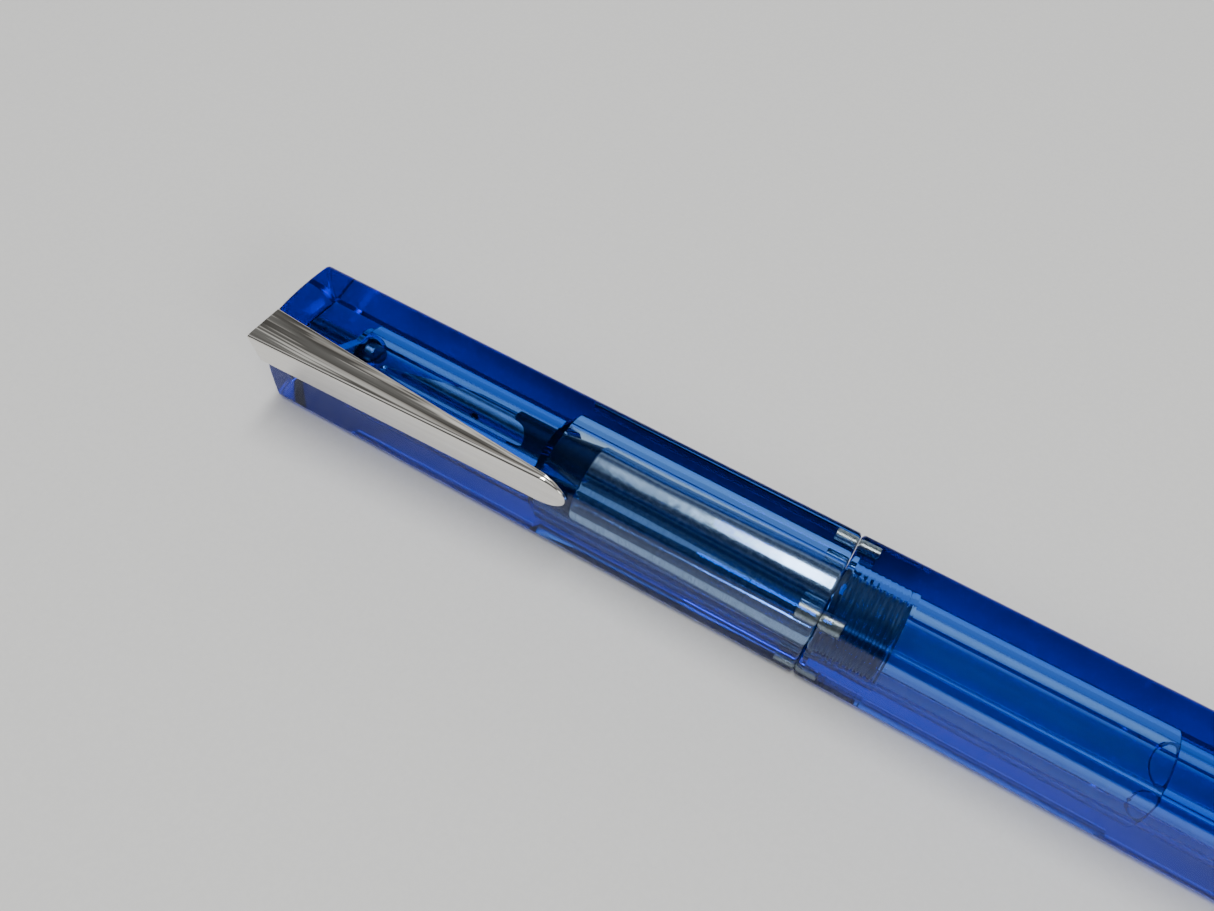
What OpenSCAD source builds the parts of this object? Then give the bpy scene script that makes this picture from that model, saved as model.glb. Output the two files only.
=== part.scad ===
// Square demonstrator fountain pen with a magnetic cap, a wedge clip and a screw-on barrel.
// The pen lies on one flat side. +X runs from the cap end to the barrel end, +Z is up and
// the clip rides on the front upper edge (-Y, +Z). Millimetres.

/* [Body] */
// Width across the flats of the cap and barrel
side = 12.5; // [12:0.1:13.5]
// Radius of the long rounded edges
edge_r = 0.9; // [0.6:0.1:1.2]
// Length of the cap from its end to the seam
cap_len = 70.4; // [70:0.1:76]
// Length of the barrel from the seam to its end
barrel_len = 73.2; // [70:0.1:80]
// Gap between the closed cap and the barrel
seam_gap = 0.06; // [0.04:0.01:0.2]
// Radius of the dome on both ends
dome_r = 38; // [30:1:60]

/* [Cap bores] */
// Radius of the bore that clears the grip
grip_bore_r = 5.35; // [5.3:0.05:5.6]
// Depth of the grip bore, to its shoulder
grip_bore_depth = 33.2; // [33:0.1:34]
// Radius of the inner bore that clears the nib
nib_bore_r = 3.75; // [3.7:0.05:3.8]
// Depth of the nib bore from the seam
nib_bore_depth = 59.8; // [59.5:0.1:60.5]

/* [Barrel bores] */
// Radius of the ink reservoir next to the thread
tank_r = 4.2; // [4.0:0.05:4.3]
// Where the reservoir narrows, from the seam
tank_step = 35.4; // [30:0.1:40]
// Radius of the narrow end of the reservoir
tank_end_r = 3.4; // [3:0.1:3.8]
// Length of the whole reservoir
tank_len = 62; // [55:1:64]

/* [Section] */
// Length of the metal grip, from the seam to its front edge
grip_len = 28.9; // [28:0.1:29.4]
// Radius of the grip at its front edge
grip_front_r = 4.75; // [4.6:0.05:5]
// Radius of the grip at the seam
grip_rear_r = 5.15; // [5.05:0.05:5.15]
// Outer radius of the threaded tail
thread_r = 4.5; // [4.4:0.05:4.5]
// Length of the threaded tail
thread_len = 7.4; // [7:0.1:8]

/* [Clip] */
// Height of the clip's ridge over the front face, at the root
ridge_root_y = 2.3; // [1.9:0.1:2.6]
// Height of the clip's ridge over the upper face, at the root
ridge_root_z = 1.0; // [0.9:0.1:1.4]
// Width of the upper wing at the root
wing_root = 5.4; // [4.6:0.1:5.6]
// Where the arm starts to flex, from the seam
arm_start = 57.6; // [57:0.1:58]
// Where the clip's tip ends, from the seam
arm_tip = 28.8; // [28:0.1:30]

/* [Magnets] */
// Radius of a seam magnet
magnet_r = 0.75; // [0.5:0.05:0.8]
// Length of a seam magnet
magnet_len = 2.5; // [2:0.1:3]
// Distance of each magnet from the pen's centre planes
magnet_off = 4.95; // [4.9:0.05:5]

/* [Hidden] */
$fn = 96;

// Colours of the materials
blue = [0.10, 0.28, 0.75, 0.5];
silver = [0.80, 0.79, 0.76];
nickel = [0.72, 0.72, 0.70];
dark_steel = [0.35, 0.35, 0.37];
satin = [0.74, 0.74, 0.75];
steel = [0.78, 0.78, 0.80];
black = [0.03, 0.03, 0.035];
rubber = [0.10, 0.10, 0.11];

half = side / 2;
dome_facets = 160;
ball_facets = 48;
eps = 0.01;
fit = 0.02;

// Corner directions (y, z), named as the magnets are
back_top = [1, 1];
front_top = [-1, 1];
front_bottom = [-1, -1];
back_bottom = [1, -1];

// Shoulder between the two cap bores
shoulder_len = 1.2;

// Thread clearance and the seat of the seal in the barrel's mouth
thread_gap = 0.05;
seal_width = 0.8;
seal_r = 5.2;
mouth_len = 8.0;

// Section and nib unit, measured from the seam: grip, collar, housing, feed, then nib
grip_lip = 0.25;
grip_waist_x = 21;
grip_waist_r = 4.68;
grip_flare_x = 4.5;
collar_len = 4.7;
collar_root_r = 4.45;
collar_tip_r = 3.55;
housing_r = 3.2;
hood_r = 3.4;
hood_end = 39.4;
hood_arch = 37.0;
housing_rear = 9.0;
feed_r = 2.45;
feed_front = 51.5;
feed_rear = 14;
nib_r = 3.05;
nib_wall = 0.35;
nib_tip_x = 55.6;
nib_shoulder_x = 44.5;
nib_rear_x = 30.0;
nib_half_width = 2.9;
nib_tip_half = 0.35;
tipping_r = 0.42;
breather_r = 0.5;
breather_x = 43.5;
slit_width = 0.14;
channel_r = 0.6;
nib_roll = 45;
feed_nose_r = 1.0;
feed_seat = 1.3;
fin_pitch = 1.1;
fin_gap = 0.35;
fin_count = 8;
fin_floor = 0.7;
fin_start = 1.4;
nib_slot_floor = -0.6;

// Clip plate and screw at the blind end of the nib bore
tang_thick = 1.0;
tang_width = 3.6;
tang_ring_r = 2.9;
tang_reach = 7.4;
screw_head_r = 2.1;
screw_face_r = 1.93;
screw_head_len = 1.1;
screw_r = 1.0;
screw_len = 6.5;
screw_slot = 0.6;
clip_end = cap_len - 1.15;
clip_clear = 0.08;
wing_drop_y = 1.2;
wing_drop_z = 0.6;
lower_root_z = 1.85;
lower_tip_z = 2.4;
tip_rise = 0.6;
tip_wing = 0.6;
nose_z = 4.7;
nose_skin = 0.1;
clip_wall = 0.5;
arm_steps = 14;
root_turn = 22.5;
tip_round = 3.6;
tip_steps = 6;
tip_turn = 72;
split_gap = 0.02;

// Moves everything from the pen's axis and seam to the row's origin
module place() {
    translate([(cap_len - barrel_len) / 2, ridge_root_y / 2, half]) children();
}

// A cylinder or cone along X from x0 to x1
module rod(x0, x1, r0, r1) {
    translate([x0, 0, 0]) rotate([0, 90, 0]) cylinder(h = x1 - x0, r1 = r0, r2 = r1);
}

// A solid of revolution about X from a list of [x, r] points
module turned(points) {
    rotate([0, 90, 0]) rotate_extrude() polygon([for (p = points) [p[1], p[0]]]);
}

// Square with rounded corners, made of true arcs
module rounded_square() {
    square([side, side - 2 * edge_r], center = true);
    square([side - 2 * edge_r, side], center = true);
    for (sy = [-1, 1])
        for (sz = [-1, 1])
            translate([sy * (half - edge_r), sz * (half - edge_r)]) circle(r = edge_r);
}

module square_bar(x0, x1) {
    translate([x0, 0, 0]) rotate([0, 90, 0]) linear_extrude(height = x1 - x0) rounded_square();
}

// Magnets and their pockets
module magnet_at(corner, x0, x1, r) {
    translate([0, corner[0] * magnet_off, corner[1] * magnet_off]) rod(x0, x1, r, r);
}

module magnet_pockets(x0, x1) {
    for (corner = [back_top, front_top, front_bottom, back_bottom])
        magnet_at(corner, x0, x1, magnet_r + fit);
}

// Flat plate of the clip with its ring round the screw, grown by room on every face
module tang(reach, room) {
    rotate([45, 0, 0])
        translate([-nib_bore_depth - tang_thick - room, -tang_width / 2 - room, 0])
            cube([tang_thick + 2 * room, tang_width + 2 * room, reach]);
    rod(
        -nib_bore_depth - tang_thick - room, -nib_bore_depth + room,
        tang_ring_r + room, tang_ring_r + room
    );
}

module cap_shell() {
    color(blue) place() difference() {
        intersection() {
            square_bar(-cap_len, -seam_gap);
            // mirrored so that the sphere's closed side makes the dome
            translate([dome_r - cap_len, 0, 0]) mirror([1, 0, 0]) sphere(r = dome_r, $fn = dome_facets);
        }
        turned([
            [1, 0], [1, grip_bore_r], [-grip_bore_depth, grip_bore_r],
            [-grip_bore_depth - shoulder_len, nib_bore_r], [-nib_bore_depth, nib_bore_r], [-nib_bore_depth, 0]
        ]);
        rod(-nib_bore_depth - tang_thick - screw_len, -nib_bore_depth, screw_r + fit, screw_r + fit);
        tang(side, fit);
        magnet_pockets(-seam_gap - magnet_len, 1);
    }
}

// Cross-section of the clip at x: root value at the cap end, tip value at the far end
function clip_t(x) = (clip_end - x) / (clip_end - arm_tip);
function blend(a, b, t) = a + (b - a) * t;
// How much of the wings is left at x: all of them up to the rounded tip
function wing_left(x) = sqrt(1 - pow(max(0, (arm_tip + tip_round - x) / tip_round), 2));
function ridge(x) = [
    -half - blend(ridge_root_y, tip_rise, clip_t(x)),
    blend(nose_z, half + blend(ridge_root_z, tip_rise, clip_t(x)), wing_left(x))
];
function upper_edge(x) = [
    ridge(x)[0] + blend(wing_root, tip_wing, clip_t(x)) * wing_left(x),
    min(half + wing_drop_z, ridge(x)[1])
];
function lower_edge(x) = [
    -half - blend(wing_drop_y, tip_rise, clip_t(x)),
    blend(nose_z, blend(lower_root_z, lower_tip_z, clip_t(x)), wing_left(x))
];
// Underside of the upper wing: clear of the cap, and inside the nose where that dips below the cap's top
function under(x) = min(half + clip_clear, ridge(x)[1] - nose_skin);

// Outline of the arm: the outer V and the same V moved in by the wall
function arm_outline(x) = [
    upper_edge(x), ridge(x), lower_edge(x),
    [lower_edge(x)[0] + clip_wall, lower_edge(x)[1] + eps],
    [min(ridge(x)[0] + 2 * clip_wall, -half - clip_clear), max(ridge(x)[1] - clip_wall, under(x))],
    [upper_edge(x)[0] - eps, under(x)]
];

// Outline of the root: the outer V closed down round the cap's rounded edge
function root_outline(x) = concat(
    [upper_edge(x), ridge(x), lower_edge(x), [-half - clip_clear, lower_edge(x)[1]]],
    [for (a = [180:-root_turn:90])
        [-half + edge_r + (edge_r + clip_clear) * cos(a), half - edge_r + (edge_r + clip_clear) * sin(a)]],
    [[upper_edge(x)[0], half + clip_clear]]
);

// Skins a list of equal-length outlines, each at its own x
module skinned(stations, outlines) {
    n = len(outlines[0]);
    last = len(stations) - 1;
    points = [for (i = [0:last]) for (p = outlines[i]) [-stations[i], p[0], p[1]]];
    // each side strip is two flat triangles a step
    low = [for (i = [0:last - 1]) for (j = [0:n - 1])
        [i * n + j, (i + 1) * n + j, (i + 1) * n + (j + 1) % n]];
    high = [for (i = [0:last - 1]) for (j = [0:n - 1])
        [i * n + j, (i + 1) * n + (j + 1) % n, i * n + (j + 1) % n]];
    start = [[for (j = [0:n - 1]) j]];
    end = [[for (j = [n - 1:-1:0]) last * n + j]];
    polyhedron(points = points, faces = concat(low, high, start, end));
}

module clip_root() {
    stations = [clip_end, arm_start];
    color(silver) place() {
        difference() {
            union() {
                skinned(stations, [for (x = stations) root_outline(x)]);
                tang(tang_reach, 0);
            }
            rod(-nib_bore_depth - 2, -nib_bore_depth + 1, screw_r + fit, screw_r + fit);
        }
    }
}

module clip_arm() {
    from = arm_start - split_gap;
    straight = [for (i = [0:arm_steps]) blend(from, arm_tip + tip_round, i / arm_steps)];
    rounded = [for (i = [1:tip_steps]) arm_tip + tip_round * (1 - sin(i * tip_turn / tip_steps))];
    stations = concat(straight, rounded);
    color(silver) place() skinned(stations, [for (x = stations) arm_outline(x)]);
}

module clip_screw() {
    color(dark_steel) place() difference() {
        union() {
            rod(-nib_bore_depth, -nib_bore_depth + screw_head_len, screw_head_r, screw_face_r);
            rod(-nib_bore_depth - tang_thick - screw_len + fit, -nib_bore_depth, screw_r, screw_r);
        }
        translate([-nib_bore_depth + screw_head_len, 0, 0])
            cube([screw_head_len, 3 * screw_head_r, screw_slot], center = true);
    }
}

module cap_magnet(corner) {
    color(nickel) place()
        magnet_at(corner, -seam_gap - magnet_len + fit, -seam_gap - fit, magnet_r);
}

module barrel_shell() {
    color(blue) place() difference() {
        intersection() {
            square_bar(0, barrel_len);
            translate([barrel_len - dome_r, 0, 0]) sphere(r = dome_r, $fn = dome_facets);
        }
        turned([
            [-1, 0], [-1, seal_r + fit], [seal_width + fit, seal_r + fit],
            [seal_width + fit, thread_r + thread_gap],
            [mouth_len, thread_r + thread_gap], [mouth_len, tank_r], [tank_step, tank_r],
            [tank_step, tank_end_r], [tank_len, tank_end_r], [tank_len, 0]
        ]);
        magnet_pockets(-1, magnet_len);
    }
}

module barrel_magnet(corner) {
    color(nickel) place() magnet_at(corner, fit, magnet_len - fit, magnet_r);
}

module barrel_o_ring() {
    color(rubber) place() difference() {
        rod(fit, seal_width, seal_r, seal_r);
        rod(-1, seal_width + 1, thread_r + thread_gap, thread_r + thread_gap);
    }
}

module section_grip() {
    color(satin) place() difference() {
        union() {
            turned([
                [-grip_len, 0], [-grip_len, grip_front_r - grip_lip],
                [-grip_len + grip_lip, grip_front_r],
                [-grip_waist_x, grip_waist_r], [-grip_flare_x, grip_rear_r], [-grip_lip, grip_rear_r],
                [0, grip_rear_r - grip_lip], [0, 0]
            ]);
            rod(0, thread_len, thread_r, thread_r);
        }
        rod(-grip_len - 1, -housing_rear, housing_r + fit, housing_r + fit);
        rod(-grip_len, thread_len + 1, feed_r, feed_r);
    }
}

module section_collar() {
    color(black) place() difference() {
        rod(-grip_len - collar_len, -grip_len - fit, collar_tip_r, collar_root_r);
        rod(-grip_len - collar_len - 1, 0, housing_r + fit, housing_r + fit);
    }
}

// Turns the nib unit so that the nib's back faces the clip
module facing_clip() {
    rotate([nib_roll, 0, 0]) children();
}

module nib_housing() {
    color(black) place() facing_clip() difference() {
        union() {
            rod(-grip_len - collar_len - fit, -housing_rear - fit, housing_r, housing_r);
            rod(-hood_end, -grip_len - collar_len - fit, hood_r, hood_r);
        }
        rod(-hood_end - 1, 0, feed_r + fit, feed_r + fit);
        // slot for the nib's shell
        intersection() {
            difference() {
                rod(-hood_end - 1, -nib_rear_x + fit, nib_r + fit, nib_r + fit);
                rod(-hood_end - 2, 0, nib_r - nib_wall - fit, nib_r - nib_wall - fit);
            }
            translate([-hood_end - 2, -side, nib_slot_floor]) cube([hood_end, 2 * side, side]);
        }
        // arch where the nib comes out from under the hood
        translate([-hood_end, 0, 0]) cylinder(h = side, r = hood_end - hood_arch);
    }
}

module feed() {
    color(black) place() facing_clip() difference() {
        union() {
            rod(-feed_front, -hood_end, feed_nose_r, feed_r);
            rod(-hood_end, -feed_rear, feed_r, feed_r);
        }
        // flat top that the nib sits on, clear of the shell
        translate([-feed_front - 1, -side, feed_seat]) cube([feed_front - hood_end + 1, 2 * side, side]);
        // fins on the underside
        for (i = [0:fin_count - 1])
            translate([-hood_end - fin_start - i * fin_pitch, -side, -side - fin_floor])
                cube([fin_gap, 2 * side, side]);
        rod(-feed_rear - 3, -feed_rear + 1, channel_r, channel_r);
    }
}

module nib() {
    color(steel) place() facing_clip() difference() {
        intersection() {
            difference() {
                rod(-nib_tip_x, -nib_rear_x, nib_r, nib_r);
                rod(-nib_tip_x - 1, 0, nib_r - nib_wall, nib_r - nib_wall);
            }
            linear_extrude(height = side)
                polygon([
                    [-nib_tip_x, -nib_tip_half], [-nib_shoulder_x, -nib_half_width],
                    [-nib_rear_x, -nib_half_width], [-nib_rear_x, nib_half_width],
                    [-nib_shoulder_x, nib_half_width], [-nib_tip_x, nib_tip_half]
                ]);
        }
        translate([-breather_x, 0, 0]) cylinder(h = side, r = breather_r);
        translate([-nib_tip_x - 1, -slit_width / 2, 0]) cube([nib_tip_x - breather_x + 1, slit_width, side]);
    }
}

module nib_tipping() {
    color(steel) place() facing_clip()
        translate([-nib_tip_x - tipping_r, 0, nib_r - nib_wall / 2]) sphere(r = tipping_r, $fn = ball_facets);
}

cap_shell();
clip_root();
clip_arm();
clip_screw();
cap_magnet(back_top);  // cap_magnet_back_top
cap_magnet(front_top);  // cap_magnet_front_top
cap_magnet(front_bottom);  // cap_magnet_front_bottom
cap_magnet(back_bottom);  // cap_magnet_back_bottom
barrel_shell();
barrel_magnet(back_top);  // barrel_magnet_back_top
barrel_magnet(front_top);  // barrel_magnet_front_top
barrel_magnet(front_bottom);  // barrel_magnet_front_bottom
barrel_magnet(back_bottom);  // barrel_magnet_back_bottom
barrel_o_ring();
section_grip();
section_collar();
nib_housing();
feed();
nib();
nib_tipping();
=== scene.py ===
"""Square blue demonstrator fountain pen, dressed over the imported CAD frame."""
import math

import bmesh
import bpy
from mathutils import Matrix, Vector


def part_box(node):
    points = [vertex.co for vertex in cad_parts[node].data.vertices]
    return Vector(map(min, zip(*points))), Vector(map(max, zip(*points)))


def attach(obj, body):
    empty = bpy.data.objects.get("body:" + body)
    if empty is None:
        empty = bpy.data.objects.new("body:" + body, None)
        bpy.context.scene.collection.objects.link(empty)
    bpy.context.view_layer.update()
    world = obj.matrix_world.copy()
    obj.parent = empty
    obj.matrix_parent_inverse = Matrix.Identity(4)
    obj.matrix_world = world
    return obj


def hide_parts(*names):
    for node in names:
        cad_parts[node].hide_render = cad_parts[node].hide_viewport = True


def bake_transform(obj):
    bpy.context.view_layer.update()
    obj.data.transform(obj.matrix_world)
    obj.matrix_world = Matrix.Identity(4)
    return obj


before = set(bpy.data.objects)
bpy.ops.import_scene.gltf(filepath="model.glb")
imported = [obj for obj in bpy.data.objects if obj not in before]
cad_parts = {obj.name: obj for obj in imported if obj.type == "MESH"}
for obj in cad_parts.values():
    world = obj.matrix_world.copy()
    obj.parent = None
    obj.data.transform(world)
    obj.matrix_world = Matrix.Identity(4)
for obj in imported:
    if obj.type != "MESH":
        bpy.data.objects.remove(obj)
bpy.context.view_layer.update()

# Pen frame: axis on X, seam at x = 0, cap towards -X, clip on the front upper edge (-Y, +Z).
# All sizes below are in millimetres.
MM = 0.001
SHELL_LOW, SHELL_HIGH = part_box("barrel_shell")
AXIS_Y = (SHELL_LOW[1] + SHELL_HIGH[1]) / 2
AXIS_Z = (SHELL_LOW[2] + SHELL_HIGH[2]) / 2
ORIGIN = Vector((SHELL_LOW[0], AXIS_Y, AXIS_Z))

# Body
SIDE = 12.5
HALF = SIDE / 2
EDGE_R = 0.9
CAP_END = (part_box("cap_shell")[0][0] - ORIGIN.x) / MM
BARREL_END = (SHELL_HIGH[0] - ORIGIN.x) / MM
SEAM_GAP = 0.06
DOME_R = 38.0
DOME_RINGS = (0.02, 0.1, 0.2, 0.3, 0.4, 0.5, 0.6, 0.7, 0.8, 0.88, 0.94, 1.0)
RIM_R = 0.45
RIM_STEPS = 6
CORNER_STEPS = 8
FLAT_STEPS = 24
AROUND = 4 * (CORNER_STEPS + FLAT_STEPS)
WELD_DECIMALS = 6

# Bores of the cap, from the seam inwards
CAP_BORE = 5.35
CAP_BORE_END = -33.2
NIB_BORE = 3.75
NIB_BORE_START = -34.4
NIB_BORE_END = -59.8
BORE_BEVEL = 0.1
HUB_R = 0.1

# Bores of the barrel: the seal's seat, the thread and the ink reservoir
SEAT_MOUTH_R, SEAT_R, SEAT_END = 5.3, 5.22, 0.82
BORE_THREAD_START, BORE_THREAD_END = 0.9, 8.0
TANK_R, TANK_STEP = 4.2, 35.4
TANK_END_R, TANK_END = 3.4, 62

# Thread of the section's tail and of the barrel's mouth
PITCH = 0.75
THREAD_DEPTH = 0.32
BORE_THREAD = 0.3
THREAD_LEN = 7.4
THREAD_R = 4.5
THREAD_GAP = 0.05
FLANK, CREST = 1.35, 0.17
FADE_TURNS = 0.6
STEPS_A_PITCH = 12

# Magnets
MAGNET_R = 0.75
MAGNET_OFF = 4.95
MAGNET_LEN = 2.5
MAGNET_FIT = 0.02
MAGNET_BEVEL = 0.08
MAGNET_STEPS = 48

# Section: the grip's outside from its front edge to the seam, its tail, its bores, and the collar
GRIP_FRONT = -28.9
GRIP_OUTSIDE = (
    (GRIP_FRONT, 4.5), (GRIP_FRONT + 0.08, 4.66), (GRIP_FRONT + 0.25, 4.75), (GRIP_FRONT + 3, 4.72),
    (-21, 4.68), (-14, 4.84), (-8, 5.0), (-4.5, 5.15), (-0.25, 5.15), (-0.08, 5.1), (-0.03, 4.95),
    (-0.03, 4.2),
)
TAIL_START, TAIL_THREAD_START, TAIL_RUN_OUT = 0.05, 0.1, 0.3
FEED_BORE, HOUSING_BORE, HOUSING_REAR = 2.45, 3.22, -9
TAIL_MARGIN = 0.02
COLLAR_FRONT, COLLAR_REAR = GRIP_FRONT - 4.7, GRIP_FRONT - 0.02
COLLAR_OUTSIDE = (
    (COLLAR_FRONT, 3.45), (COLLAR_FRONT + 0.1, 3.55),
    (GRIP_FRONT - 0.15, 4.42), (COLLAR_REAR, 4.36),
)

# Seal in the barrel's mouth: the middle of its ring, and half of its oval section
SEAL_X, SEAL_R = 0.42, 4.885
SEAL_HALF_WIDTH, SEAL_HALF_HEIGHT = 0.38, 0.31
SEAL_STEPS = 24

# Nib: a curved shell that narrows to its point, with a slit, a breather hole and a ball
NIB_ROLL = math.radians(45)
NIB_R, NIB_WALL = 3.05, 0.35
NIB_TIP, NIB_SHOULDER, NIB_REAR = -55.6, -44.5, -30.0
NIB_TIP_HALF, NIB_HALF = 0.33, 2.87
NIB_CURVE, NIB_BELLY, NIB_FULLEST = 0.9, 0.12, 0.98
NIB_STEPS, NIB_ARC_STEPS = 110, 12
SLIT_HALF = 0.07
BREATHER_X, BREATHER_R = -43.5, 0.5
BALL_R = 0.42
BALL_RINGS, BALL_STEPS = 16, 24

# Feed: a tapering core with a flat seat for the nib and a comb of fins
FEED_FRONT, FEED_REAR = -51.5, -14.0
FEED_NOSE_R, FEED_R, FEED_TAPER, FEED_CURVE = 0.95, 2.43, 10.5, 0.8
FEED_STEPS, FEED_AROUND = 240, 64
FEED_SEAT, FEED_SEAT_REAR = 1.28, -39.4
FIN_FRONT, FIN_REAR, FIN_ORIGIN, FIN_TOP = -49.5, -40.3, -60, 0.1
FIN_PITCH, FIN_GAP, FIN_DEPTH = 0.8, 0.3, 0.45

# Clip: a V that narrows towards its tip. A pair is the value at the root and at the tip.
CLIP_ROOT, CLIP_TIP, TIP_ROUND = -69.25, -28.8, 3.6
ARM_START, HOLLOW_START = -57.6, 1.0
NOSE_Z = 4.7
RIDGE_Y, RIDGE_Z = (2.3, 0.6), (1.0, 0.6)
WING_WIDTH, WING_RISE = (5.4, 0.6), 0.6
LOWER_Y, LOWER_Z = (1.2, 0.6), (1.85, 2.4)
CLIP_CLEAR, CLIP_WALL, NOSE_SKIN, STEP = 0.08, 0.5, 0.1, 0.01
SHARP_R, RIDGE_R, LOWER_R, INNER_R = 0.15, 0.42, 0.2, 0.3
ROUND_STEPS, SHARE_OF_SIDE = 6, 0.45
BLADE_STEPS, TIP_STEPS, TIP_TURN = 60, 20, 84
WING_STEPS = 14
WING_FIRST, WING_LAST = ROUND_STEPS, ROUND_STEPS + WING_STEPS
HOLLOW_DEPTH, HOLLOW_RUN, HOLLOW_WIDTH, HOLLOW_LEAN = 0.3, 7.0, 2.5, 1.3

# Plate that holds the clip: a strip from a ring. The angles go from the strip's middle to the corner
# of its end and to the ring; the points are those along the end, a side and the ring.
PLATE_X = NIB_BORE_END
PLATE_THICK = 1.0
PLATE_HALF = 1.8
PLATE_REACH = 7.4
PLATE_RING = 2.9
PLATE_HOLE = 1.02
PLATE_EDGE = 0.08
PLATE_TURN = math.radians(135)
PLATE_TIP = math.atan2(PLATE_HALF, PLATE_REACH)
PLATE_NECK = math.asin(PLATE_HALF / PLATE_RING)
TIP_POINTS, SIDE_POINTS, RING_POINTS = 8, 12, 60

# Floor
FLOOR_DROP = 0.4
FLOOR_HALF = 1200

# Brightness of the room by height, and by side from the viewer's (0) to the far one (1)
SKY_BY_HEIGHT = ((0.0, 0.66), (0.5, 0.62), (0.60, 0.16), (0.80, 0.17), (0.90, 0.95), (1.0, 1.0))
SKY_BY_SIDE = ((0.0, 0.22), (0.38, 0.35), (0.55, 1.0))

# Shading: the noise values between which materials vary, a metal's patches of even roughness in
# grains, and the pull of large faces on normals
NOISE_LOW, NOISE_HIGH = 0.3, 0.7
ROUGH_PATCH = 4
NORMAL_WEIGHT = 80
ACRYLIC_IOR = 1.49
ACRYLIC_COLOUR = (0.10, 0.51, 0.948, 1)
ACRYLIC_DENSITY = 500
ACRYLIC_ROUGH = (0.0, 0.008)
ACRYLIC_GLOSS = (0.0, 0.15, 1.0, 1)
WHITE = (1, 1, 1, 1)

# Camera, in the pen frame: its place, and its axes to the right, up and back
CAMERA_PLACE = Vector((-0.26, -63.24, 102.96))
CAMERA_RIGHT = Vector((0.86524, 0.49516, 0.0786))
CAMERA_UP = Vector((-0.44529, 0.68693, 0.57432))
CAMERA_BACK = Vector((0.23039, -0.53192, 0.81485))
LENS, SENSOR = 32.751, 36.0
CAMERA_NEAR, CAMERA_FAR = 0.01, 10


# ---------------------------------------------------------------- mesh helpers
def pen(x, y, z):
    """A point of the pen frame, in the row frame in metres."""
    return ORIGIN + Vector((x, y, z)) * MM


def mix(a, b, t):
    return a + (b - a) * t


def piece(name, verts, faces, material, body, stands_for=(), sharp=35):
    """One closed mesh in the pen frame, riding on its body and smooth up to the sharp angle.

    Without a body it is left unparented.
    """
    mesh = bpy.data.meshes.new(name)
    mesh.from_pydata([pen(*v) for v in verts], [], faces)
    mesh.validate()
    work = bmesh.new()
    work.from_mesh(mesh)
    bmesh.ops.recalc_face_normals(work, faces=work.faces)
    work.to_mesh(mesh)
    work.free()
    mesh.polygons.foreach_set("use_smooth", [True] * len(mesh.polygons))
    mesh.set_sharp_from_angle(angle=math.radians(sharp))
    mesh.materials.append(material)
    obj = bpy.data.objects.new(name, mesh)
    bpy.context.scene.collection.objects.link(obj)
    normals = obj.modifiers.new("face_normals", "WEIGHTED_NORMAL")
    normals.keep_sharp = True
    normals.weight = NORMAL_WEIGHT
    if body:
        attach(obj, body)
    if stands_for:
        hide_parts(*stands_for)
    return obj


def bridged(loops, closed=False):
    """Vertices and faces of a skin over equal loops, with a fan at each end unless it is closed."""
    n = len(loops[0])
    verts = [tuple(p) for loop in loops for p in loop]
    faces = []
    pairs = list(zip(range(len(loops) - 1), range(1, len(loops))))
    if closed:
        pairs.append((len(loops) - 1, 0))
    for a, b in pairs:
        for j in range(n):
            k = (j + 1) % n
            faces.append((a * n + j, a * n + k, b * n + k, b * n + j))
    if not closed:
        for first, flip in ((0, True), ((len(loops) - 1) * n, False)):
            centre = [sum(verts[first + j][i] for j in range(n)) / n for i in range(3)]
            verts.append(tuple(centre))
            hub = len(verts) - 1
            for j in range(n):
                edge = (first + j, first + (j + 1) % n)
                faces.append((edge[1], edge[0], hub) if flip else (edge[0], edge[1], hub))
    return verts, faces


def welded(verts, faces):
    """The same mesh with coincident vertices joined and the faces that two parts share left out."""
    index, kept, renamed = {}, [], []
    for v in verts:
        key = tuple(round(c, WELD_DECIMALS) + 0.0 for c in v)  # + 0.0 turns -0.0 into 0.0
        if key not in index:
            index[key] = len(kept)
            kept.append(v)
        renamed.append(index[key])
    groups = {}
    for face in faces:
        corners = tuple(renamed[i] for i in face)
        groups.setdefault(frozenset(corners), []).append(corners)
    return kept, [group[0] for group in groups.values() if len(group) == 1]


def ring_angle(i):
    """Angle of the i-th point of a ring, from +Y towards +Z, lined up with the square loops."""
    return math.pi / 4 + (i - CORNER_STEPS / 2) * 2 * math.pi / AROUND


def thread(x, angle):
    """Depth of the thread at a point, 0 on the crest and 1 in the root."""
    phase = (x / PITCH - angle / (2 * math.pi)) % 1.0
    return min(1.0, max(0.0, FLANK * (1 - abs(2 * phase - 1)) - CREST))


def ring(x, r, cut=0.0):
    """A loop round the axis, with the thread cut into it by that share of its depth."""
    loop = []
    for i in range(AROUND):
        a = ring_angle(i)
        rr = r - cut * THREAD_DEPTH * thread(x, a)
        loop.append((x, rr * math.cos(a), rr * math.sin(a)))
    return loop


def square_loop(inset):
    """(y, z) points of the rounded square, moved in by the inset."""
    core = HALF - EDGE_R
    r = EDGE_R - inset
    corners = []
    for q in range(4):
        cy = core * (1 if q in (0, 3) else -1)
        cz = core * (1 if q in (0, 1) else -1)
        turns = [math.pi / 2 * (q + j / CORNER_STEPS) for j in range(CORNER_STEPS + 1)]
        corners.append([(cy + r * math.cos(a), cz + r * math.sin(a)) for a in turns])
    points = []
    for q in range(4):
        points += corners[q]
        start, end = corners[q][-1], corners[(q + 1) % 4][0]
        for j in range(1, FLAT_STEPS):
            t = j / FLAT_STEPS
            points.append((mix(start[0], end[0], t), mix(start[1], end[1], t)))
    return points


def dome_x(point, end, out):
    """x of the domed end over a (y, z) point; out is -1 for the cap and 1 for the barrel."""
    return end - out * DOME_R + out * math.sqrt(DOME_R**2 - point[0] ** 2 - point[1] ** 2)


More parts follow.
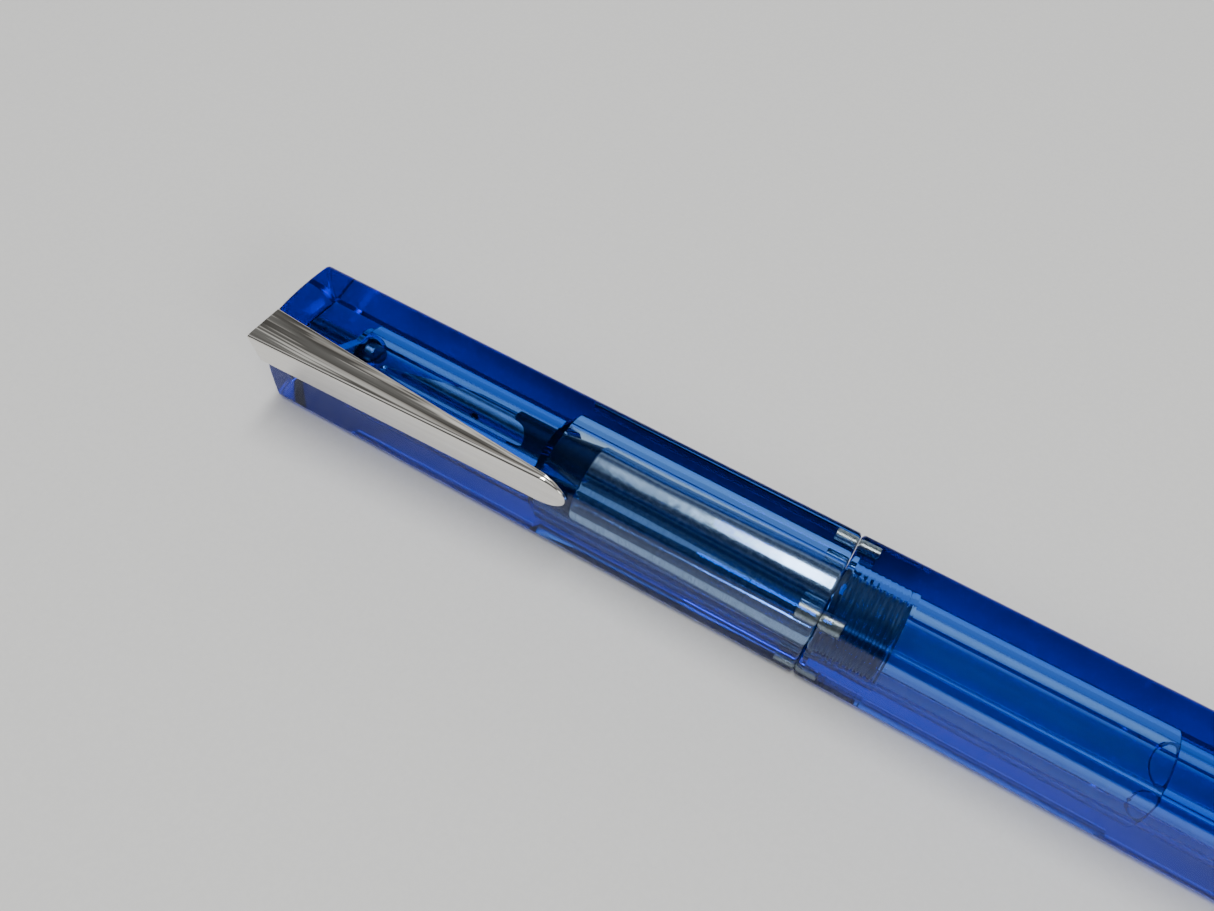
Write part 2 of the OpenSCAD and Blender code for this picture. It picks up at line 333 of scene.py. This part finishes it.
def outer_loops(end, out, mouth):
    """Loops of the outside of a shell, from the middle of the dome to the flat face at the seam."""
    loops = []
    inner = square_loop(RIM_R)
    for k in DOME_RINGS:
        loops.append([(dome_x((y * k, z * k), end, out), y * k, z * k) for y, z in inner])
    rim = [dome_x(p, end, out) for p in inner]
    for step in range(1, RIM_STEPS + 1):
        a = math.pi / 2 * step / RIM_STEPS
        square = square_loop(RIM_R * (1 - math.sin(a)))
        back = out * RIM_R * (1 - math.cos(a))
        loops.append([(x - back, y, z) for x, (y, z) in zip(rim, square)])
    for step in range(RIM_STEPS + 1):
        a = math.pi / 2 * step / RIM_STEPS
        x = mouth + out * RIM_R * (1 - math.sin(a))
        loops.append([(x, y, z) for y, z in square_loop(RIM_R * (1 - math.cos(a)))])
    return loops


def turned(name, profile, material, body, stands_for=(), sharp=35):
    """A solid of revolution from (x, r) or (x, r, thread share) points, out and back inside."""
    loops = [ring(*p) for p in profile]
    verts, faces = bridged(loops, closed=True)
    return piece(name, verts, faces, material, body, stands_for, sharp)


def threaded(start, end, r):
    """(x, r, share) stations of a thread that fades in and out over its first and last turn."""
    count = int(abs(end - start) / PITCH * STEPS_A_PITCH)
    stations = []
    for i in range(count + 1):
        t = i / count
        x = start + (end - start) * t
        share = min(1.0, min(t, 1 - t) * abs(end - start) / (PITCH * FADE_TURNS))
        stations.append((x, r, share))
    return stations


# ---------------------------------------------------------------- materials
def shader(name, **values):
    """A material with one Principled shader, its named sockets set."""
    mat = bpy.data.materials.new(name)
    mat.use_nodes = True
    bsdf = mat.node_tree.nodes["Principled BSDF"]
    for key, value in values.items():
        bsdf.inputs[key.replace("_", " ")].default_value = value
    return mat, bsdf


def stretched_noise(mat, size, detail=4.0, stretch=(1, 1, 1)):
    """A noise texture in object space with features of about that size in millimetres."""
    nodes, links = mat.node_tree.nodes, mat.node_tree.links
    place = nodes.new("ShaderNodeTexCoord")
    scale = nodes.new("ShaderNodeMapping")
    scale.inputs["Scale"].default_value = stretch
    noise = nodes.new("ShaderNodeTexNoise")
    noise.inputs["Scale"].default_value = 1 / (size * MM)
    noise.inputs["Detail"].default_value = detail
    links.new(place.outputs["Object"], scale.inputs["Vector"])
    links.new(scale.outputs["Vector"], noise.inputs["Vector"])
    return noise


def vary(mat, bsdf, socket, noise, low, high):
    """Drives a number socket from a noise, between low and high."""
    span = mat.node_tree.nodes.new("ShaderNodeMapRange")
    span.inputs["From Min"].default_value = NOISE_LOW
    span.inputs["From Max"].default_value = NOISE_HIGH
    span.inputs["To Min"].default_value = low
    span.inputs["To Max"].default_value = high
    mat.node_tree.links.new(noise.outputs["Fac"], span.inputs["Value"])
    mat.node_tree.links.new(span.outputs["Result"], bsdf.inputs[socket])


def tint(mat, bsdf, noise, dark, light):
    """Drives the colour from a noise, between two colours."""
    ramp = mat.node_tree.nodes.new("ShaderNodeValToRGB")
    ramp.color_ramp.elements[0].position = NOISE_LOW
    ramp.color_ramp.elements[1].position = NOISE_HIGH
    ramp.color_ramp.elements[0].color = (*dark, 1)
    ramp.color_ramp.elements[1].color = (*light, 1)
    mat.node_tree.links.new(noise.outputs["Fac"], ramp.inputs["Fac"])
    mat.node_tree.links.new(ramp.outputs["Color"], bsdf.inputs["Base Color"])


def bump(mat, bsdf, noise, height, strength=1.0):
    """A bump of that height in millimetres."""
    node = mat.node_tree.nodes.new("ShaderNodeBump")
    node.inputs["Distance"].default_value = height * MM
    node.inputs["Strength"].default_value = strength
    mat.node_tree.links.new(noise.outputs["Fac"], node.inputs["Height"])
    mat.node_tree.links.new(node.outputs["Normal"], bsdf.inputs["Normal"])


def acrylic():
    """Clear blue acrylic: its colour comes from the depth that light passes through."""
    mat, bsdf = shader("blue_acrylic", IOR=ACRYLIC_IOR, Transmission_Weight=1.0)
    bsdf.inputs["Base Color"].default_value = WHITE
    bsdf.inputs["Specular Tint"].default_value = ACRYLIC_GLOSS
    vary(mat, bsdf, "Roughness", stretched_noise(mat, size=3.0), *ACRYLIC_ROUGH)
    depth = mat.node_tree.nodes.new("ShaderNodeVolumeAbsorption")
    depth.inputs["Color"].default_value = ACRYLIC_COLOUR
    depth.inputs["Density"].default_value = ACRYLIC_DENSITY
    out = mat.node_tree.nodes["Material Output"]
    mat.node_tree.links.new(depth.outputs["Volume"], out.inputs["Volume"])
    return mat


def metal(name, dark, light, rough, grain, stretch, height, detail=4.0):
    """A metal with grain of that size in millimetres, stretched along its machining marks."""
    mat, bsdf = shader(name, Metallic=1.0)
    noise = stretched_noise(mat, grain, detail, stretch)
    tint(mat, bsdf, noise, dark, light)
    vary(mat, bsdf, "Roughness", stretched_noise(mat, grain * ROUGH_PATCH), *rough)
    bump(mat, bsdf, noise, height)
    return mat


def plastic(name, dark, light, rough, grain, height, gloss=0.5):
    """An opaque moulded or rubber surface."""
    mat, bsdf = shader(name, Specular_IOR_Level=gloss)
    noise = stretched_noise(mat, grain)
    tint(mat, bsdf, noise, dark, light)
    vary(mat, bsdf, "Roughness", noise, *rough)
    bump(mat, bsdf, noise, height)
    return mat


ACRYLIC = acrylic()
CLIP_METAL = metal(
    "clip_silver", dark=(0.74, 0.72, 0.68), light=(0.84, 0.82, 0.78), rough=(0.04, 0.10),
    grain=0.5, stretch=(0.03, 1, 1), height=0.003,
)
# the upper wing: a bump of long streaks, plus dark and bright streaks painted into its colour as a
# painted reflection of the room
WING_PAINTED_REFLECTION = metal(
    "clip_wing_painted_reflection", dark=(0.30, 0.28, 0.25), light=(0.98, 0.96, 0.90), rough=(0.04, 0.10),
    grain=0.8, stretch=(0.03, 1, 1), height=0.2, detail=1.0,
)
GRIP_METAL = metal(
    "grip_metal", dark=(0.40, 0.41, 0.43), light=(0.54, 0.55, 0.57), rough=(0.12, 0.2),
    grain=0.12, stretch=(1, 0.06, 0.06), height=0.002,
)
MAGNET_METAL = metal(
    "nickel", dark=(0.30, 0.28, 0.24), light=(0.50, 0.48, 0.42), rough=(0.22, 0.4),
    grain=0.3, stretch=(1, 1, 1), height=0.006,
)
SCREW_METAL = metal(
    "dark_steel", dark=(0.16, 0.16, 0.17), light=(0.28, 0.28, 0.30), rough=(0.25, 0.4),
    grain=0.2, stretch=(1, 1, 1), height=0.003,
)
NIB_METAL = metal(
    "nib_steel", dark=(0.66, 0.66, 0.67), light=(0.78, 0.78, 0.79), rough=(0.08, 0.2),
    grain=0.3, stretch=(0.1, 1, 1), height=0.001,
)
BLACK = plastic(
    "black_plastic", dark=(0.006, 0.006, 0.007), light=(0.014, 0.014, 0.016), rough=(0.12, 0.25),
    grain=0.4, height=0.003, gloss=0.2,
)
# the section's threaded tail, which looks dark through the barrel
TAIL = plastic(
    "grip_tail", dark=(0.045, 0.050, 0.056), light=(0.075, 0.080, 0.088), rough=(0.55, 0.7),
    grain=0.3, height=0.003,
)
RUBBER = plastic(
    "black_rubber", dark=(0.012, 0.012, 0.012), light=(0.025, 0.025, 0.025), rough=(0.5, 0.7),
    grain=0.2, height=0.01,
)


# ---------------------------------------------------------------- cap and barrel
def shell(name, end, out, mouth, bore, body, node):
    """A closed acrylic shell: the outside from the dome to the seam, then the bore inwards."""
    loops = outer_loops(end, out, mouth) + [ring(*p) for p in bore]
    verts, faces = bridged(loops)
    piece(name, verts, faces, ACRYLIC, body, (node,), sharp=30)


def make_cap():
    """Cap: a wide bore over the grip and a narrow one over the nib."""
    bore = [(-SEAM_GAP, CAP_BORE + BORE_BEVEL), (-SEAM_GAP - BORE_BEVEL, CAP_BORE)]
    bore += [(CAP_BORE_END, CAP_BORE), (NIB_BORE_START, NIB_BORE)]
    bore += [(NIB_BORE_END + BORE_BEVEL, NIB_BORE), (NIB_BORE_END, NIB_BORE - BORE_BEVEL)]
    bore += [(NIB_BORE_END, HUB_R)]
    shell("cap_body", CAP_END, -1, -SEAM_GAP, bore, "cap", "cap_shell")


def make_barrel():
    """Barrel: the seal's seat, the thread and the stepped ink reservoir."""
    thread_bore = THREAD_R + THREAD_GAP
    bore = [(0, SEAT_MOUTH_R), (BORE_BEVEL, SEAT_R), (SEAT_END, SEAT_R), (SEAT_END, thread_bore)]
    stations = threaded(BORE_THREAD_START, BORE_THREAD_END, thread_bore)
    bore += [(x, r, share * BORE_THREAD) for x, r, share in stations]
    bore += [(BORE_THREAD_END, TANK_R)]
    bore += [(TANK_STEP - BORE_BEVEL, TANK_R), (TANK_STEP, TANK_R - BORE_BEVEL)]
    bore += [(TANK_STEP, TANK_END_R + BORE_BEVEL), (TANK_STEP + BORE_BEVEL, TANK_END_R)]
    bore += [(TANK_END - 2 * BORE_BEVEL, TANK_END_R), (TANK_END, TANK_END_R - 2 * BORE_BEVEL)]
    bore += [(TANK_END, HUB_R)]
    shell("barrel_body", BARREL_END, 1, 0.0, bore, "barrel", "barrel_shell")


def magnet(name, low, high, y, z, body):
    """A small bevelled cylinder along X, standing for the CAD node of its name."""
    turns = [2 * math.pi * i / MAGNET_STEPS for i in range(MAGNET_STEPS)]
    end_r = MAGNET_R - MAGNET_BEVEL
    stations = [(low, end_r), (low + MAGNET_BEVEL, MAGNET_R)]
    stations += [(high - MAGNET_BEVEL, MAGNET_R), (high, end_r)]
    loops = [[(x, y + r * math.cos(a), z + r * math.sin(a)) for a in turns] for x, r in stations]
    verts, faces = bridged(loops)
    piece("v_" + name, verts, faces, MAGNET_METAL, body, (name,))


def make_magnets():
    """Four magnets in each mouth, one by every edge of the pen."""
    spans = (
        ("cap", -SEAM_GAP - MAGNET_LEN + MAGNET_FIT, -SEAM_GAP - MAGNET_FIT),
        ("barrel", MAGNET_FIT, MAGNET_LEN - MAGNET_FIT),
    )
    for body, low, high in spans:
        for up, z in (("top", MAGNET_OFF), ("bottom", -MAGNET_OFF)):
            for side, y in (("back", MAGNET_OFF), ("front", -MAGNET_OFF)):
                magnet(f"{body}_magnet_{side}_{up}", low, high, y, z, body)


# ---------------------------------------------------------------- section
def make_grip():
    """Metal grip with a threaded tail, which has the second material."""
    tail = [(TAIL_START, THREAD_R, 0.0)]
    tail += threaded(TAIL_THREAD_START, THREAD_LEN - TAIL_RUN_OUT, THREAD_R)
    inside = [(THREAD_LEN, THREAD_R - TAIL_RUN_OUT), (THREAD_LEN, FEED_BORE)]
    inside += [(HOUSING_REAR, FEED_BORE), (HOUSING_REAR, HOUSING_BORE), (GRIP_FRONT, HOUSING_BORE)]
    profile = [*GRIP_OUTSIDE, *tail, *inside]
    grip = turned("grip", profile, GRIP_METAL, "section", ("section_grip",))
    grip.data.materials.append(TAIL)
    seam = ORIGIN.x - TAIL_MARGIN * MM
    for face in grip.data.polygons:
        if face.center.x > seam:
            face.material_index = 1


def make_collar():
    """Black collar between the grip and the nib."""
    profile = [(COLLAR_FRONT, HOUSING_BORE), *COLLAR_OUTSIDE, (COLLAR_REAR, HOUSING_BORE)]
    turned("collar", profile, BLACK, "section", ("section_collar",))


def make_seal():
    """Rubber ring of oval section in the barrel's mouth."""
    profile = []
    for i in range(SEAL_STEPS):
        a = 2 * math.pi * i / SEAL_STEPS
        x, r = SEAL_X + SEAL_HALF_WIDTH * math.cos(a), SEAL_R + SEAL_HALF_HEIGHT * math.sin(a)
        profile.append((x, r))
    turned("seal", profile, RUBBER, "barrel_seal", ("barrel_o_ring",), sharp=60)


def rolled(x, y, z):
    """A point of the nib unit, turned so that the nib's back faces the clip."""
    c, s = math.cos(NIB_ROLL), math.sin(NIB_ROLL)
    return (x, y * c - z * s, y * s + z * c)


def nib_half_angle(x):
    """Half of the arc that the nib's shell covers at x, narrowing to the point."""
    t = min(1.0, max(0.0, (x - NIB_TIP) / (NIB_SHOULDER - NIB_TIP)))
    width = mix(NIB_TIP_HALF, NIB_HALF, t**NIB_CURVE * (1 + NIB_BELLY - NIB_BELLY * t))
    return math.asin(min(NIB_FULLEST, width / NIB_R))


def nib_loop(x, side):
    """Outline of one half of the nib at x, out along its top and back along its underside."""
    gap = 0.0 if x > BREATHER_X + BREATHER_R else SLIT_HALF
    if abs(x - BREATHER_X) < BREATHER_R:
        gap = max(gap, math.sqrt(BREATHER_R**2 - (x - BREATHER_X) ** 2))
    first = math.asin(gap / NIB_R)
    last = nib_half_angle(x)
    loop = []
    outwards = range(NIB_ARC_STEPS + 1)
    for r, order in ((NIB_R, outwards), (NIB_R - NIB_WALL, reversed(outwards))):
        for i in order:
            a = first + (last - first) * i / NIB_ARC_STEPS
            loop.append((x, side * r * math.sin(a), r * math.cos(a)))
    return loop


def make_nib():
    """Curved steel shell, whose halves join behind the breather hole, and the ball at its point."""
    stations = [NIB_TIP + (NIB_REAR - NIB_TIP) * i / NIB_STEPS for i in range(NIB_STEPS + 1)]
    verts, faces = [], []
    for side in (-1, 1):
        half, half_faces = bridged([nib_loop(x, side) for x in stations])
        faces += [tuple(i + len(verts) for i in face) for face in half_faces]
        verts += [rolled(*v) for v in half]
    verts, faces = welded(verts, faces)
    piece("nib_shell", verts, faces, NIB_METAL, "section", ("nib",), sharp=40)
    centre_x, centre_z = NIB_TIP - BALL_R, NIB_R - NIB_WALL / 2
    turns = [2 * math.pi * j / BALL_STEPS for j in range(BALL_STEPS)]
    loops = []
    for i in range(1, BALL_RINGS):
        a = math.pi * i / BALL_RINGS
        x, r = centre_x - BALL_R * math.cos(a), BALL_R * math.sin(a)
        loops.append([rolled(x, r * math.cos(b), centre_z + r * math.sin(b)) for b in turns])
    verts, faces = bridged(loops)
    piece("nib_ball", verts, faces, NIB_METAL, "section", ("nib_tipping",))


def feed_point(x, r, cut, a):
    """A point of the feed at x: finned below and flat on top, where the nib sits on it."""
    y, z = math.cos(a), math.sin(a)
    rr = r - (cut if z < FIN_TOP else 0.0)
    top = FEED_SEAT if x < FEED_SEAT_REAR else FEED_R
    return (x, rr * y, min(rr * z, top))


def make_feed():
    """Black feed: a comb of fins under the nib, over a tapering core."""
    turns = [2 * math.pi * j / FEED_AROUND for j in range(FEED_AROUND)]
    loops = []
    for i in range(FEED_STEPS + 1):
        x = FEED_FRONT + (FEED_REAR - FEED_FRONT) * i / FEED_STEPS
        taper = min(1.0, (x - FEED_FRONT) / FEED_TAPER)
        r = mix(FEED_NOSE_R, FEED_R, taper**FEED_CURVE)
        in_gap = FIN_FRONT < x < FIN_REAR and (x - FIN_ORIGIN) % FIN_PITCH < FIN_GAP
        cut = FIN_DEPTH if in_gap else 0.0
        loops.append([rolled(*feed_point(x, r, cut, a)) for a in turns])
    verts, faces = bridged(loops)
    piece("feed_comb", verts, faces, BLACK, "section", ("feed",), sharp=30)


# ---------------------------------------------------------------- clip
def clip_section(x):
    """Upper edge, ridge and lower edge of the clip's outer V at x, as (y, z) points."""
    t = (x - CLIP_ROOT) / (CLIP_TIP - CLIP_ROOT)
    left = math.sqrt(1 - max(0.0, (x - CLIP_TIP + TIP_ROUND) / TIP_ROUND) ** 2)
    ridge = (-HALF - mix(*RIDGE_Y, t), mix(NOSE_Z, HALF + mix(*RIDGE_Z, t), left))
    upper = (ridge[0] + mix(*WING_WIDTH, t) * left, min(HALF + WING_RISE, ridge[1]))
    lower = (-HALF - mix(*LOWER_Y, t), mix(NOSE_Z, mix(*LOWER_Z, t), left))
    return upper, ridge, lower


def rounded_corner(before, corner, after, r):
    """Points of an arc-like blend at a corner, r from it on both sides."""
    c = Vector(corner)
    a = c + (Vector(before) - c).normalized() * min(r, (Vector(before) - c).length * SHARE_OF_SIDE)
    b = c + (Vector(after) - c).normalized() * min(r, (Vector(after) - c).length * SHARE_OF_SIDE)
    points = []
    for i in range(ROUND_STEPS + 1):
        t = i / ROUND_STEPS
        points.append(tuple(a * (1 - t) ** 2 + c * 2 * t * (1 - t) + b * t**2))
    return points


def hollow(start, ridge, rise):
    """Points of the upper wing between its edge and its ridge, dished like a ground blade."""
    width = start[0] - ridge[0]
    depth = HOLLOW_DEPTH * min(1.0, width / HOLLOW_WIDTH) * min(1.0, rise)
    end = ridge[0] + RIDGE_R
    points = []
    for i in range(1, WING_STEPS):
        t = i / WING_STEPS
        sag = depth * 4 * t * (1 - t) * (HOLLOW_LEAN - 2 * (HOLLOW_LEAN - 1) * t)
        points.append((mix(start[0], end, t), mix(start[1], ridge[1], t) - sag))
    return points


def clip_loop(x):
    """Outline of the clip at x, fitted to the cap's edge at the root and hollow along the arm."""
    upper, ridge, lower = clip_section(x)
    face = -HALF - CLIP_CLEAR
    under = min(HALF + CLIP_CLEAR, ridge[1] - NOSE_SKIN)
    free = min(1.0, max(0.0, (x - ARM_START) / HOLLOW_START))
    arm_ridge = (min(ridge[0] + 2 * CLIP_WALL, face), max(ridge[1] - CLIP_WALL, under))
    inner_ridge = (mix(face, arm_ridge[0], free), mix(HALF + CLIP_CLEAR, arm_ridge[1], free))
    inner_lower = (mix(face, lower[0] + CLIP_WALL, free), lower[1] + STEP)
    inner_upper = (upper[0] - STEP, under)
    corners = [upper, ridge, lower, inner_lower, inner_ridge, inner_upper]
    radii = [SHARP_R, RIDGE_R, LOWER_R, SHARP_R, mix(EDGE_R + CLIP_CLEAR, INNER_R, free), SHARP_R]
    loop = []
    for i, corner in enumerate(corners):
        loop += rounded_corner(corners[i - 1], corner, corners[(i + 1) % len(corners)], radii[i])
        if i == 0:
            fade = min(1.0, (x - CLIP_ROOT) / HOLLOW_RUN)
            loop += hollow(loop[-1], ridge, (ridge[1] - HALF) * fade)
    return [(x, y, z) for y, z in loop]


def make_clip():
    """Wedge-shaped blade over root and arm, hollow inside from where the arm leaves the root."""
    straight = CLIP_TIP - TIP_ROUND - CLIP_ROOT
    stations = [CLIP_ROOT + straight * i / BLADE_STEPS for i in range(BLADE_STEPS + 1)]
    turns = [math.radians(TIP_TURN * i / TIP_STEPS) for i in range(1, TIP_STEPS + 1)]
    stations += [CLIP_TIP - TIP_ROUND * (1 - math.sin(a)) for a in turns]
    loops = [clip_loop(x) for x in stations]
    verts, faces = bridged(loops)
    clip = piece("clip_blade", verts, faces, CLIP_METAL, body=None, sharp=50)
    # the upper wing's faces take the material with the painted reflection
    clip.data.materials.append(WING_PAINTED_REFLECTION)
    for index, face in enumerate(clip.data.polygons):
        if WING_FIRST <= index % len(loops[0]) < WING_LAST:
            face.material_index = 1
    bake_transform(clip)
    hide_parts("clip_root", "clip_arm")


def plate_reach(a):
    """Distance of the plate's outline from the pen's axis at an angle from the strip's middle."""
    if abs(a) < PLATE_TIP:
        return PLATE_REACH / math.cos(a)
    if abs(a) < PLATE_NECK:
        return PLATE_HALF / abs(math.sin(a))
    return PLATE_RING


def plate_point(x, r, a):
    """A point of the plate, whose strip points at the front upper edge."""
    return (x, r * math.cos(a + PLATE_TURN), r * math.sin(a + PLATE_TURN))


def make_plate():
    """Flat plate that holds the clip: a ring round the screw and a strip out to the clip."""
    spans = (
        (-PLATE_TIP, PLATE_TIP, TIP_POINTS), (PLATE_TIP, PLATE_NECK, SIDE_POINTS),
        (PLATE_NECK, 2 * math.pi - PLATE_NECK, RING_POINTS), (-PLATE_NECK, -PLATE_TIP, SIDE_POINTS),
    )
    angles = []
    for start, end, count in spans:
        angles += [start + (end - start) * i / count for i in range(count)]
    reach = [plate_reach((a + math.pi) % (2 * math.pi) - math.pi) for a in angles]
    low, high = PLATE_X - PLATE_THICK, PLATE_X
    loops = []
    rims = ((low, PLATE_EDGE), (low + PLATE_EDGE, 0), (high - PLATE_EDGE, 0), (high, PLATE_EDGE))
    for x, inset in rims:
        loops.append([plate_point(x, r - inset, a) for r, a in zip(reach, angles)])
    for x in (high, low):
        loops.append([plate_point(x, PLATE_HOLE, a) for a in angles])
    verts, faces = bridged(loops, closed=True)
    piece("clip_plate", verts, faces, CLIP_METAL, "cap", ("clip_root",))


# ---------------------------------------------------------------- stage, light and camera
def make_floor():
    """A pale sheet of paper just under the pen."""
    half, level = FLOOR_HALF * MM, -FLOOR_DROP * MM
    corners = [(x * half, y * half, level) for x, y in ((-1, -1), (1, -1), (1, 1), (-1, 1))]
    mesh = bpy.data.meshes.new("floor")
    mesh.from_pydata(corners, [], [(0, 1, 2, 3)])
    floor = bpy.data.objects.new("floor", mesh)
    mat, bsdf = shader("floor_paper", Roughness=0.85)
    noise = stretched_noise(mat, size=0.6, detail=6)
    tint(mat, bsdf, noise, dark=(0.70, 0.70, 0.685), light=(0.725, 0.725, 0.71))
    bump(mat, bsdf, noise, height=0.004, strength=0.3)
    mesh.materials.append(mat)
    bpy.context.scene.collection.objects.link(floor)


def area_light(name, place, size, power):
    """A soft panel of that size and place in metres, facing the pen."""
    data = bpy.data.lights.new(name, "AREA")
    data.shape = "RECTANGLE"
    data.size, data.size_y = size
    data.energy = power
    lamp = bpy.data.objects.new(name, data)
    lamp.location = place
    lamp.rotation_mode = "QUATERNION"
    lamp.rotation_quaternion = (-Vector(place)).to_track_quat("-Z", "Y")
    bpy.context.scene.collection.objects.link(lamp)


def grey_ramp(nodes, stops):
    """A colour ramp of greys from (position, brightness) stops."""
    ramp = nodes.new("ShaderNodeValToRGB")
    while len(ramp.color_ramp.elements) < len(stops):
        ramp.color_ramp.elements.new(0.5)
    for element, (position, grey) in zip(ramp.color_ramp.elements, stops):
        element.position = position
        element.color = (grey, grey, grey, 1)
    return ramp


def make_light():
    """A pale room that is dark where the pen's top face mirrors it, and two soft panels."""
    world = bpy.data.worlds.new("studio")
    world.use_nodes = True
    nodes, links = world.node_tree.nodes, world.node_tree.links
    place = nodes.new("ShaderNodeTexCoord")
    axes = nodes.new("ShaderNodeSeparateXYZ")
    links.new(place.outputs["Generated"], axes.inputs["Vector"])
    height = grey_ramp(nodes, SKY_BY_HEIGHT)
    side = grey_ramp(nodes, SKY_BY_SIDE)
    halve = nodes.new("ShaderNodeMath")  # takes -1..1 to 0..1
    halve.operation = "MULTIPLY_ADD"
    halve.inputs[1].default_value = halve.inputs[2].default_value = 0.5
    both = nodes.new("ShaderNodeMix")
    both.data_type, both.blend_type = "RGBA", "MULTIPLY"
    both.inputs["Factor"].default_value = 1.0
    links.new(axes.outputs["Z"], height.inputs["Fac"])
    links.new(axes.outputs["Y"], halve.inputs[0])
    links.new(halve.outputs["Value"], side.inputs["Fac"])
    # sockets 6, 7 and 2 are the mix node's colours A, B and Result
    links.new(height.outputs["Color"], both.inputs[6])
    links.new(side.outputs["Color"], both.inputs[7])
    links.new(both.outputs[2], nodes["Background"].inputs["Color"])
    nodes["Background"].inputs["Strength"].default_value = 1.0
    bpy.context.scene.world = world
    area_light("overhead", place=(-0.05, 0.0, 0.8), size=(0.6, 0.12), power=5.7)
    area_light("side", place=(0.75, -0.45, 0.5), size=(0.4, 0.3), power=3.0)


def make_camera():
    """The photograph's camera."""
    data = bpy.data.cameras.new("camera")
    data.lens, data.sensor_width = LENS, SENSOR
    data.clip_start, data.clip_end = CAMERA_NEAR, CAMERA_FAR
    camera = bpy.data.objects.new("camera", data)
    turn = Matrix((CAMERA_RIGHT, CAMERA_UP, CAMERA_BACK)).transposed()
    camera.matrix_world = Matrix.Translation(ORIGIN + CAMERA_PLACE * MM) @ turn.to_4x4()
    bpy.context.scene.collection.objects.link(camera)
    bpy.context.scene.camera = camera


make_cap()
make_barrel()
make_magnets()
make_grip()
make_collar()
make_seal()
make_clip()
make_plate()
make_nib()
make_feed()
for node, material in (("clip_screw", SCREW_METAL), ("nib_housing", BLACK)):
    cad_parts[node].data.materials.clear()
    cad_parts[node].data.materials.append(material)
make_floor()
make_light()
make_camera()
